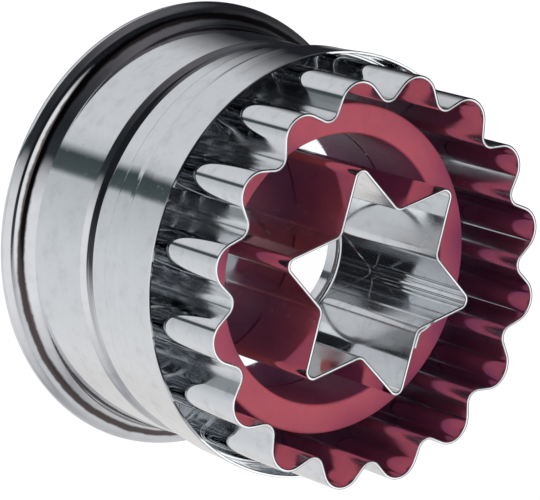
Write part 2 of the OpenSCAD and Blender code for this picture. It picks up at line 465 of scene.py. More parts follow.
class Finish:
    """A material in the making: it adds nodes and joins their sockets."""

    def __init__(self, name):
        self.material = bpy.data.materials.new(name)
        self.material.use_nodes = True
        self.tree = self.material.node_tree
        self.tree.nodes.clear()
        output = self.tree.nodes.new("ShaderNodeOutputMaterial")
        self.shader = self.tree.nodes.new("ShaderNodeBsdfPrincipled")
        self.tree.links.new(self.shader.outputs["BSDF"], output.inputs["Surface"])
        self.place = self.tree.nodes.new("ShaderNodeTexCoord").outputs["Object"]

    def feed(self, socket, value):
        if isinstance(value, bpy.types.NodeSocket):
            self.tree.links.new(value, socket)
        else:
            socket.default_value = value

    def add(self, kind, settings=None, **values):
        node = self.tree.nodes.new("ShaderNode" + kind)
        for key, value in (settings or {}).items():
            setattr(node, key, value)
        for key, value in values.items():
            self.feed(node.inputs[key.replace("_", " ")], value)
        return node

    def sum(self, operation, *values):
        node = self.tree.nodes.new("ShaderNodeMath")
        node.operation = operation
        for i, value in enumerate(values):
            self.feed(node.inputs[i], value)
        return node.outputs[0]

    def noise(self, place, scale, detail=2.0, roughness=0.5):
        return self.add(
            "TexNoise", {"noise_dimensions": "3D"},
            Vector=place, Scale=scale, Detail=detail, Roughness=roughness,
        ).outputs["Fac"]

    def spread(self, value, low, high, out_low, out_high):
        """Maps low..high to out_low..out_high, and holds there."""
        node = self.tree.nodes.new("ShaderNodeMapRange")
        node.clamp = True
        for i, number in enumerate((value, low, high, out_low, out_high)):
            self.feed(node.inputs[i], number)
        return node.outputs[0]

    def tones(self, value, *stops):
        """A colour ramp of (position, colour) stops."""
        ramp = self.tree.nodes.new("ShaderNodeValToRGB")
        self.feed(ramp.inputs[0], value)
        fill_ramp(ramp, stops)
        return ramp.outputs[0]

    def grain(self, round_scale, height_scale):
        """Object coordinates stretched round the axis, so that noise makes turning lines."""
        parts = self.add("SeparateXYZ", Vector=self.place)
        flat = self.add("CombineXYZ", X=parts.outputs["X"], Y=parts.outputs["Y"])
        way = self.add("VectorMath", {"operation": "NORMALIZE"})
        self.feed(way.inputs[0], flat.outputs[0])
        length = self.add("VectorMath", {"operation": "LENGTH"})
        self.feed(length.inputs[0], flat.outputs[0])
        round_way = self.add("VectorMath", {"operation": "SCALE"})
        self.feed(round_way.inputs[0], way.outputs[0])
        self.feed(round_way.inputs["Scale"], round_scale)
        slope = self.sum("ADD", parts.outputs["Z"], length.outputs["Value"])
        rise = self.sum("MULTIPLY", slope, height_scale)
        lift = self.add("CombineXYZ", Z=rise)
        both = self.add("VectorMath", {"operation": "ADD"})
        self.feed(both.inputs[0], round_way.outputs[0])
        self.feed(both.inputs[1], lift.outputs[0])
        self.radius = length.outputs["Value"]
        self.height = parts.outputs["Z"]
        return both.outputs[0]

    def bump(self, height, depth, normal=None):
        """Raises the surface by height (0 to 1) times depth in millimetres."""
        node = self.add("Bump", Height=height, Strength=1.0, Distance=depth * MM)
        if normal is not None:
            self.feed(node.inputs["Normal"], normal)
        return node.outputs["Normal"]


def fill_ramp(ramp, stops):
    points = ramp.color_ramp.elements
    points[0].position, points[0].color = stops[0][0], (*stops[0][1], 1.0)
    points[1].position, points[1].color = stops[-1][0], (*stops[-1][1], 1.0)
    for position, colour in stops[1:-1]:
        points.new(position).color = (*colour, 1.0)


def shade(colour, factor):
    return tuple(channel * factor for channel in colour)


def bright_sheet(name, colour, waviness=0.008, line_depth=0.0003, roughness=(0.03, 0.075), groove=False):
    """Rolled tinplate: bright, slightly wavy, with turning lines, hairline scratches and faint stains; with
    groove, also painted shade in the rim groove.
    """
    finish = Finish(name)
    lines = finish.noise(finish.grain(6.0, 9000.0), 1.0, 3.0, 0.6)
    scratch_cells = finish.noise(finish.grain(60.0, 2600.0), 1.0, 1.0, 0.4)
    scratches = finish.spread(scratch_cells, 0.66, 0.72, 0.0, 1.0)
    waves = finish.noise(finish.place, 130.0, 1.0, 0.4)
    stains = finish.noise(finish.place, 420.0, 4.0, 0.6)
    specks = finish.spread(finish.noise(finish.place, 5200.0, 1.0, 0.5), 0.70, 0.78, 0.0, 1.0)
    tone = finish.tones(
        stains, (0.30, shade(colour, 0.90)), (0.46, colour),
        (0.62, shade(colour, 1.03)), (0.80, shade(colour, 0.93)),
    )
    # painted shade: the housing's rim groove gets a dark brown colour where the crease lies in shade
    if groove:
        tone = painted_groove_shade(finish, tone, stains)
    finish.feed(finish.shader.inputs["Base Color"], tone)
    finish.shader.inputs["Metallic"].default_value = 1.0
    worn = finish.spread(stains, 0.35, 0.75, *roughness)
    worn = finish.sum("ADD", worn, finish.sum("MULTIPLY", scratches, 0.10))
    worn = finish.sum("ADD", worn, finish.sum("MULTIPLY", specks, 0.06))
    finish.feed(finish.shader.inputs["Roughness"], worn)
    normal = finish.bump(waves, waviness)
    normal = finish.bump(lines, line_depth, normal)
    finish.feed(finish.shader.inputs["Normal"], finish.bump(scratches, -0.0003, normal))
    return finish.material


def painted_groove_shade(finish, tone, stains):
    """Painted shade: a dark brown colour laid into the hollow between the rolled rim and the wall, where the
    crease lies in shade.
    """
    uneven = finish.sum("MULTIPLY", finish.sum("SUBTRACT", stains, 0.5), 0.4 * MM)
    radius = finish.sum("ADD", finish.radius, uneven)
    inside = finish.spread(radius, 25.0 * MM, 25.2 * MM, 0.0, 1.0)
    outside = finish.spread(radius, 25.75 * MM, 25.95 * MM, 1.0, 0.0)
    above = finish.spread(finish.height, 2.2 * MM, 2.4 * MM, 0.0, 1.0)
    mask = finish.sum("MULTIPLY", finish.sum("MULTIPLY", inside, outside), above)
    mix = finish.add("Mix", {"data_type": "RGBA"})
    finish.feed(mix.inputs[0], mask)
    finish.feed(mix.inputs[6], tone)
    # dark brown colour of the painted shade in the crease
    finish.feed(mix.inputs[7], (0.13, 0.105, 0.105, 1.0))
    return mix.outputs[2]


def formed_strip(name, colour, hollow_from, hollow_to):
    """Strip steel bent into waves: draw lines up the strip, and duller hollows with small stretch pits."""
    finish = Finish(name)
    finish.grain(1.0, 1.0)
    stretched = finish.add(
        "Mapping", {"vector_type": "POINT"}, Vector=finish.place, Scale=(1.0, 1.0, 0.05)
    ).outputs[0]
    streaks = finish.noise(stretched, 3400.0, 3.0, 0.6)
    waves = finish.noise(stretched, 260.0, 1.0, 0.4)
    stains = finish.noise(finish.place, 520.0, 4.0, 0.6)
    hollow = finish.spread(finish.radius, hollow_from * MM, hollow_to * MM, 1.0, 0.0)
    patches = finish.spread(finish.noise(finish.place, 700.0, 2.0, 0.5), 0.48, 0.60, 0.0, 1.0)
    pits = finish.spread(finish.noise(finish.place, 4600.0, 2.0, 0.6), 0.60, 0.70, 0.0, 1.0)
    marks = finish.sum("MULTIPLY", finish.sum("MULTIPLY", pits, hollow), patches)
    nicks = finish.spread(finish.height, (CUTTING_EDGE - 1.1) * MM, CUTTING_EDGE * MM, 0.0, 1.0)
    finish.feed(
        finish.shader.inputs["Base Color"],
        finish.tones(
            stains, (0.30, shade(colour, 0.88)), (0.45, colour),
            (0.62, shade(colour, 1.03)), (0.80, shade(colour, 0.92)),
        ),
    )
    finish.shader.inputs["Metallic"].default_value = 1.0
    worn = finish.spread(streaks, 0.35, 0.70, 0.03, 0.09)
    for wear, amount in ((marks, 0.12), (hollow, 0.14), (nicks, 0.05)):
        worn = finish.sum("ADD", worn, finish.sum("MULTIPLY", wear, amount))
    finish.feed(finish.shader.inputs["Roughness"], worn)
    normal = finish.bump(waves, 0.0012)
    normal = finish.bump(streaks, 0.0002, normal)
    finish.feed(finish.shader.inputs["Normal"], finish.bump(marks, 0.0015, normal))
    return finish.material


def red_plastic(name, colour):
    """Glossy moulded plastic: a little uneven in colour, faint flow waves, fine rub marks and dust pits."""
    finish = Finish(name)
    cloud = finish.noise(finish.place, 260.0, 3.0, 0.55)
    fine = finish.noise(finish.place, 2600.0, 3.0, 0.6)
    rubs = finish.spread(finish.noise(finish.grain(26.0, 3800.0), 1.0, 2.0, 0.5), 0.60, 0.72, 0.0, 1.0)
    finish.feed(
        finish.shader.inputs["Base Color"],
        finish.tones(
            cloud, (0.28, shade(colour, 0.86)), (0.45, colour),
            (0.60, shade(colour, 1.06)), (0.78, shade(colour, 0.94)),
        ),
    )
    finish.shader.inputs["IOR"].default_value = 1.49
    finish.shader.inputs["Specular IOR Level"].default_value = 0.4
    finish.feed(
        finish.shader.inputs["Roughness"],
        finish.sum("ADD", finish.spread(fine, 0.35, 0.70, 0.36, 0.48), finish.sum("MULTIPLY", rubs, 0.08)),
    )
    normal = finish.bump(cloud, 0.02)
    normal = finish.bump(fine, 0.0016, normal)
    finish.feed(finish.shader.inputs["Normal"], finish.bump(rubs, -0.0012, normal))
    return finish.material


def drawn_wire(name, colour):
    """Hard-drawn wire: die lines along it, dull patches and small bright rubs."""
    finish = Finish(name)
    die_lines = finish.noise(finish.grain(10.0, 14000.0), 1.0, 2.0, 0.6)
    patches = finish.noise(finish.place, 900.0, 4.0, 0.6)
    finish.feed(
        finish.shader.inputs["Base Color"],
        finish.tones(patches, (0.30, shade(colour, 0.72)), (0.50, colour), (0.72, shade(colour, 1.12))),
    )
    finish.shader.inputs["Metallic"].default_value = 1.0
    finish.feed(
        finish.shader.inputs["Roughness"],
        finish.sum(
            "ADD", finish.spread(patches, 0.35, 0.70, 0.18, 0.34),
            finish.spread(die_lines, 0.4, 0.7, 0.0, 0.08),
        ),
    )
    finish.feed(finish.shader.inputs["Normal"], finish.bump(die_lines, 0.003))
    return finish.material


def plated_screw(name, colour):
    """Zinc-plated screw: bright head with turning rings and driver marks."""
    finish = Finish(name)
    grain = finish.noise(finish.place, 5200.0, 3.0, 0.6)
    cloud = finish.noise(finish.place, 900.0, 3.0, 0.5)
    finish.feed(
        finish.shader.inputs["Base Color"],
        finish.tones(cloud, (0.30, shade(colour, 0.80)), (0.52, colour), (0.75, shade(colour, 1.04))),
    )
    finish.shader.inputs["Metallic"].default_value = 1.0
    finish.feed(finish.shader.inputs["Roughness"], finish.spread(grain, 0.35, 0.70, 0.14, 0.34))
    finish.feed(finish.shader.inputs["Normal"], finish.bump(grain, 0.004))
    return finish.material


def finish_named(name, make, *values, **options):
    """Makes a finish once and uses it again."""
    return bpy.data.materials.get(name) or make(name, *values, **options)


def tin_colour(context):
    return tuple(context.scene.linzer_finish.tinplate)


def tinplate_finish(context):
    return finish_named("bright_tinplate", bright_sheet, tin_colour(context))


def red_finish(context):
    return finish_named("red_moulded_plastic", red_plastic, tuple(context.scene.linzer_finish.red))


def wire_finish(context):
    return finish_named("drawn_spring_wire", drawn_wire, tuple(context.scene.linzer_finish.wire))


# ---------------------------------------------------------------- pieces


class LINZER_OT_housing_shell(bpy.types.Operator):
    """Build the cup: rolled rim, tapered wall, shoulder and neck, as one spun sheet"""

    bl_idname = "linzer.housing_shell"
    bl_label = "Housing Shell"

    def execute(self, context):
        sizes = context.scene.linzer_housing
        roll = arc((25.7, 1.2), sizes.roll_radius / MM, -214.0, 75.97, 40)
        outline = [(r, max(z, 0.0)) for r, z in roll]
        outline += arc((26.5, 4.4), 2.0, 255.97, 180.0, 10)[1:]
        outline += [(24.375, 6.4), (24.25, 8.4), (24.125, 10.4)]
        outline += arc((22.9, 12.4), 1.1, 0.0, 66.0, 10)
        outline += arc((23.35, 14.0), 0.45, 246.0, 114.0, 10)
        outline += arc((23.3, 14.75), 0.4, -64.0, 0.0, 6)
        outline += [(23.7, 16.2), (23.7, 17.35)]
        outline += arc((23.9, 17.85), 0.4, -50.0, 0.0, 6)
        outline += [(24.3, 19.1), (24.3, 19.8), (24.4, 20.7), (24.4, 21.8), (24.4, 22.9)]
        piece = turned("housing_shell", outline, sizes.facets, closed=False)
        thicken(piece, sizes.sheet)
        round_edges(piece, 0.06)
        material = finish_named(
            "bright_housing", bright_sheet, tin_colour(context), groove=True
        )
        dress(piece, material, FIXED_BODY, "tinplate", "housing")
        return {"FINISHED"}


class LINZER_OT_rim_wire(bpy.types.Operator):
    """Build the wire that stiffens the rolled rim"""

    bl_idname = "linzer.rim_wire"
    bl_label = "Rim Wire"

    def execute(self, context):
        sizes = context.scene.linzer_housing
        section = arc((25.7, 1.2), sizes.rim_wire / MM, 0.0, 345.0, 23)
        piece = turned("rim_wire_hoop", section, sizes.facets)
        dress(piece, wire_finish(context), FIXED_BODY, "spring_wire", "rim_wire")
        return {"FINISHED"}


class LINZER_OT_front_band(bpy.types.Operator):
    """Build the flaring band that is pressed over the front of the cup"""

    bl_idname = "linzer.front_band"
    bl_label = "Front Band"

    def execute(self, context):
        outline = [(24.42, 20.9), (24.68, 20.9), (24.75, 21.02), (24.76, 22.0), (24.79, 23.0)]
        outline += [(24.85, 24.2), (24.91, 25.4), (24.97, 26.5), (25.0, 26.98), (24.93, 27.1)]
        outline += [(24.72, 27.1), (24.65, 26.98), (24.61, 26.4), (24.55, 25.2), (24.46, 23.8)]
        outline += [(24.4, 23.0), (24.4, 22.0), (24.4, 21.0)]
        piece = turned("front_band_ring", outline, context.scene.linzer_housing.facets)
        material = finish_named(
            "bright_band", bright_sheet, tin_colour(context), waviness=0.006, line_depth=0.0004
        )
        dress(piece, material, FIXED_BODY, "tinplate", "front_band", smooth=30.0)
        return {"FINISHED"}


class LINZER_OT_cutter_plate(bpy.types.Operator):
    """Build the plate that carries the cutters, with its collared hole, post holes and tab slots"""

    bl_idname = "linzer.cutter_plate"
    bl_label = "Cutter Plate"

    def execute(self, context):
        sizes = context.scene.linzer_cutters
        hole = sizes.hole_radius / MM
        outline = [(hole, 17.8), (hole, 18.5)]
        outline += arc((hole + 0.6, PLATE_UNDERSIDE), 0.6, 180.0, 90.0, 8)
        outline += [(11.0, PLATE_TOP), (14.0, PLATE_TOP), (17.55, PLATE_TOP), (21.0, PLATE_TOP)]
        outline += arc((23.55, PLATE_TOP - 0.4), 0.4, 90.0, 0.0, 6)
        outline += [(23.95, 18.8), (23.95, 18.2), (23.35, 18.2), (23.35, PLATE_UNDERSIDE)]
        outline += [(21.0, PLATE_UNDERSIDE), (17.55, PLATE_UNDERSIDE), (14.0, PLATE_UNDERSIDE)]
        outline += [(hole + 0.75, PLATE_UNDERSIDE), (hole + 0.5, 18.95), (hole + 0.5, 17.8)]
        piece = turned("cutter_plate_disc", outline, 192)
        for degrees in (60.0, 180.0, 300.0):
            x, y = polar(17.55, degrees)
            cut(piece, rod("post_hole", x, y, 18.0, 21.0, 1.8))
        for degrees in (0.0, 90.0, 180.0, 270.0):
            cut(piece, block("flute_tab_slot", (20.6, -0.9, 18.0), (21.15, 0.9, 21.0), degrees))
        lean, across, along = star_flank(sizes.star_points)
        strip, half_width = sizes.strip / MM, STAR_TAB_WIDTH / 2 + 0.1
        for degrees in STAR_TAB_TURNS:
            low = (across - strip - 0.1, along - half_width, 18.0)
            cut(piece, block("star_tab_slot", low, (across + 0.1, along + half_width, 21.0), lean + degrees))
        dress(piece, tinplate_finish(context), FIXED_BODY, "tinplate", "cutter_plate")
        return {"FINISHED"}


FLUTE = {"tip": 23.9, "tip_round": 2.9, "valley": 21.05, "valley_round": 1.25}
STAR = {"tip": 13.85, "tip_round": 1.1, "valley": 8.85, "valley_round": 1.0}
STAR_TAB_WIDTH = 3.0
STAR_TAB_TURNS = (0.0, 120.0, 240.0)


class LINZER_OT_fluted_cutter(bpy.types.Operator):
    """Build the outer cutter: a fluted strip with its overlapped joint and bent tabs"""

    bl_idname = "linzer.fluted_cutter"
    bl_label = "Fluted Cutter"

    def execute(self, context):
        sizes = context.scene.linzer_cutters
        strip = sizes.strip / MM
        half_pitch = 180.0 / sizes.flutes
        piece = lobed_wall(
            "fluted_cutter_strip", sizes.flutes, low=PLATE_TOP, high=CUTTING_EDGE, thickness=sizes.strip,
            turn=half_pitch, **FLUTE,
        )
        round_edges(piece, 0.07)
        crest = polar(FLUTE["tip"] - FLUTE["tip_round"], 180.0 + half_pitch)
        facing = 180.0 + half_pitch
        lap = arc(crest, FLUTE["tip_round"] - strip - 0.03, facing - 40.0, facing + 40.0, 14)
        others = [lap_strip("flute_lap", lap, PLATE_TOP + 0.1, CUTTING_EDGE - 0.15, sizes.strip, 1.0)]
        for degrees in (0.0, 90.0, 180.0, 270.0):
            others.append(foot("flute_tab", FLUTE["valley"], 1.6, 1.6, degrees, sizes.strip))
        joined(piece, others)
        material = finish_named("fluted_strip_steel", formed_strip, tin_colour(context), 21.4, 22.6)
        dress(piece, material, FIXED_BODY, "tinplate", "fluted_cutter")
        return {"FINISHED"}


def star_flank(points):
    """The flank between the first tip and the next inner corner: its direction and its middle's place."""
    tip, corner, lean = lobe_geometry(points, **STAR)
    start = Vector(tip) + Vector(polar(STAR["tip_round"], lean))
    end = Vector(corner) - Vector(polar(STAR["valley_round"], lean))
    middle = (start + end) / 2
    return lean, middle @ Vector(polar(1.0, lean)), middle @ Vector(polar(1.0, lean + 90.0))


class LINZER_OT_star_cutter(bpy.types.Operator):
    """Build the window cutter: a star-shaped strip with its overlapped joint and bent tabs"""

    bl_idname = "linzer.star_cutter"
    bl_label = "Star Cutter"

    def execute(self, context):
        sizes = context.scene.linzer_cutters
        piece = lobed_wall(
            "star_cutter_strip", sizes.star_points, low=PLATE_TOP, high=CUTTING_EDGE, thickness=sizes.strip,
            turn=0.0, **STAR,
        )
        round_edges(piece, 0.07)
        lap = self.lap_outline(sizes.star_points)
        others = [lap_strip("star_lap", lap, PLATE_TOP + 0.1, CUTTING_EDGE, sizes.strip, 1.0)]
        lean, across, along = star_flank(sizes.star_points)
        for degrees in STAR_TAB_TURNS:
            others.append(foot("star_tab", across, STAR_TAB_WIDTH, 1.6, lean + degrees, sizes.strip, along))
        joined(piece, others)
        material = finish_named("star_strip_steel", formed_strip, tin_colour(context), 9.6, 10.8)
        dress(piece, material, FIXED_BODY, "tinplate", "star_cutter")
        return {"FINISHED"}

    def lap_outline(self, points):
        """The overlapping end: flat on one flank, round the inner corner, and sunk into the other flank."""
        corner, lean = lobe_geometry(points, **STAR)[1:]
        pitch = 360.0 / points
        bend = STAR["valley_round"] - 0.05
        rounded = [Vector(p) for p in arc(corner, bend, lean + 180.0, pitch + 180.0 - lean, 12)]
        first_way = (rounded[0] - rounded[1]).normalized()
        last_way = (rounded[-1] - rounded[-2]).normalized()
        into_wall = Vector(polar(1.0, pitch - lean + 180.0))
        start = [rounded[0] + first_way * step for step in (1.5, 1.0, 0.5)]
        sinking = ((0.5, 0.05), (1.1, 0.2), (1.8, 0.42))
        end = [rounded[-1] + last_way * step + into_wall * sink for step, sink in sinking]
        return rotated([tuple(p) for p in start + rounded + end], pitch)


class LINZER_OT_spring_seat(bpy.types.Operator):
    """Build the flat washer with a lip that the return spring presses on"""

    bl_idname = "linzer.spring_seat"
    bl_label = "Spring Seat"

    def execute(self, context):
        outline = [(19.9, 18.85), (21.5, 18.85), (23.2, 18.85)]
        outline += [(23.2, SEAT_UNDERSIDE), (22.3, SEAT_UNDERSIDE)]
        outline += [(22.3, 17.5), (21.9, 17.5), (21.9, SEAT_UNDERSIDE), (19.9, SEAT_UNDERSIDE)]
        piece = turned("spring_seat_washer", outline, 192)
        round_edges(piece, 0.08)
        dress(piece, tinplate_finish(context), FIXED_BODY, "tinplate", "spring_seat")
        return {"FINISHED"}


class LINZER_OT_return_spring(bpy.types.Operator):
    """Build the return spring: a wire section carried round the axis, with a closed half turn at each end"""

    bl_idname = "linzer.return_spring"
    bl_label = "Return Spring"

    mean_radius = 21.0
    low = 7.98
    high = 17.87
    stages_per_turn = 60

    def execute(self, context):
        sizes = context.scene.linzer_ejector
        clear_selection()
        bpy.ops.mesh.primitive_circle_add(
            vertices=14, radius=sizes.wire_radius, fill_type="NGON",
            location=(self.mean_radius * MM, 0.0, self.low * MM), rotation=(math.radians(90.0), 0.0, 0.0),
        )
        piece = new_piece("return_spring_coil")
        edit("FACE")
        bpy.ops.mesh.select_all(action="SELECT")
        stages = round(sizes.coils * self.stages_per_turn)
        turn = FULL_TURN / self.stages_per_turn
        height = self.low
        for stage in range(1, stages + 1):
            rise = self.height_at(stage / self.stages_per_turn, sizes.coils) - height
            height += rise
            bpy.ops.mesh.extrude_region_move(TRANSFORM_OT_translate={"value": (0, 0, rise * MM)})
            bpy.ops.transform.rotate(
                value=-turn, orient_axis="Z", orient_type="GLOBAL", center_override=(0.0, 0.0, 0.0)
            )
        weld()
        object_mode()
        round_edges(piece, 0.08, angle=60.0)
        dress(piece, wire_finish(context), FIXED_BODY, "spring_wire", "return_spring", smooth=50.0)
        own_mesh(piece)
        return {"FINISHED"}

    def height_at(self, turns, coils):
        """Wire centre height: flat for the closed half turns, then rising evenly."""
        share = min(max((turns - 0.5) / (coils - 1.0), 0.0), 1.0)
        return self.low + (self.high - self.low) * share


class LINZER_OT_ejector_ring(bpy.types.Operator):
    """Build the red ejector ring with its hollow back and three posts"""

    bl_idname = "linzer.ejector_ring"
    bl_label = "Ejector Ring"

    def execute(self, context):
        sizes = context.scene.linzer_ejector
        inner, outer = sizes.inner_radius / MM, sizes.outer_radius / MM
        face, wall, edge = 29.0, 1.2, 0.3
        outline = [(inner, 19.9), (inner, 23.0), (inner, 26.0)]
        outline += arc((inner + edge, face - edge), edge, 180.0, 90.0, 5)
        outline += [((inner + outer) / 2, face)]
        outline += arc((outer - edge, face - edge), edge, 90.0, 0.0, 5)
        outline += [(outer, 26.0), (outer, 23.0), (outer, 19.9), (outer - wall, 19.9), (outer - wall, 27.6)]
        outline += [(inner + wall, 27.6), (inner + wall, 19.9)]
        piece = turned("ejector_ring_moulding", outline, 192)
        round_edges(piece, 0.1)
        for degrees in (60.0, 180.0, 300.0):
            x, y = polar(17.55, degrees)
            post = rod("post", x, y, 7.5, 28.2, sizes.post_radius / MM)
            round_edges(post, 0.1)
            cut(post, rod("pilot_hole", x, y, 7.0, 13.0, 0.9, sides=32))
            cut(piece, post, "UNION")
        dress(piece, red_finish(context), MOVING_BODY, "red_plastic", "ejector_ring")
        return {"FINISHED"}


class LINZER_OT_push_ring(bpy.types.Operator):
    """Build the red ring that the thumb pushes, with three lugs for the screws"""

    bl_idname = "linzer.push_ring"
    bl_label = "Push Ring"

    def execute(self, context):
        inner, outer, low, high = 18.8, 22.0, 5.5, 7.5
        post_circle, lug = 17.55, 2.6
        reach = (post_circle**2 + inner**2 - lug**2) / (2 * post_circle)
        half = math.sqrt(inner**2 - reach**2)
        side = math.degrees(math.atan2(half, reach))
        lug_side = math.degrees(math.atan2(half, reach - post_circle))
        third = arc((post_circle, 0.0), lug, -lug_side, lug_side - 360.0, 24)
        third += arc((0.0, 0.0), inner, side, 120.0 - side, 26)[1:]
        turn = Matrix.Rotation(math.radians(60.0), 2)
        piece = draw_line("push_ring_moulding", [(*(turn @ Vector(p)), low) for p in third])
        bpy.ops.mesh.select_all(action="SELECT")
        bpy.ops.mesh.spin(steps=3, angle=FULL_TURN, center=(0, 0, 0), axis=(0, 0, 1), dupli=True)
        bpy.ops.mesh.select_all(action="SELECT")
        bpy.ops.mesh.remove_doubles(threshold=0.02 * MM)
        object_mode()
        clear_selection()
        bpy.ops.mesh.primitive_circle_add(vertices=150, radius=outer * MM, location=(0.0, 0.0, low * MM))
        rim = new_piece("push_ring_outer_edge")
        joined(piece, [rim])
        edit("EDGE")
        bpy.ops.mesh.select_all(action="SELECT")
        bpy.ops.mesh.bridge_edge_loops()
        bpy.ops.mesh.select_all(action="SELECT")
        bpy.ops.mesh.extrude_region_move(TRANSFORM_OT_translate={"value": (0, 0, (high - low) * MM)})
        weld()
        object_mode()
        round_edges(piece, 0.25, segments=3)
        for degrees in (60.0, 180.0, 300.0):
            x, y = polar(post_circle, degrees)
            cut(piece, rod("screw_hole", x, y, low - 1.0, high + 1.0, 1.05, sides=32))
        dress(piece, red_finish(context), MOVING_BODY, "red_plastic", "push_ring")
        return {"FINISHED"}


class LINZER_OT_push_ring_screws(bpy.types.Operator):
    """Build one pan-head screw with its cross recess, and copy it to the three posts"""

    bl_idname = "linzer.push_ring_screws"
    bl_label = "Push Ring Screws"

    def execute(self, context):
        outline = [(0.0, 4.3), (0.9, 4.3)] + arc((1.2, 4.9), 0.6, -90.0, 0.0, 6)
        outline += [(1.8, 5.5), (0.9, 5.5)]
        for thread in range(8):
            outline += [(0.9, 5.9 + 0.6 * thread), (0.78, 6.15 + 0.6 * thread)]
        outline += [(0.85, 11.0), (0.0, 12.0)]
        first = turned("push_ring_screw_1", outline, 40, closed=False)
        for degrees in (45.0, 135.0):
            cut(first, block("cross_slot", (-1.1, -0.25, 4.0), (1.1, 0.25, 4.9), degrees))
        screws = [first, copy_of(first, "push_ring_screw_2"), copy_of(first, "push_ring_screw_3")]
        material = finish_named("plated_screw_steel", plated_screw, (0.72, 0.72, 0.70))
        for screw, degrees in zip(screws, (60.0, 180.0, 300.0)):
            x, y = polar(17.55, degrees)
            hold(screw)
            screw.location = (x * MM, y * MM, 0.0)
            bpy.ops.object.transform_apply(location=True, rotation=False, scale=False)
            dress(screw, material, MOVING_BODY, "screw_steel", "push_ring_screws")
        return {"FINISHED"}


# ---------------------------------------------------------------- stage


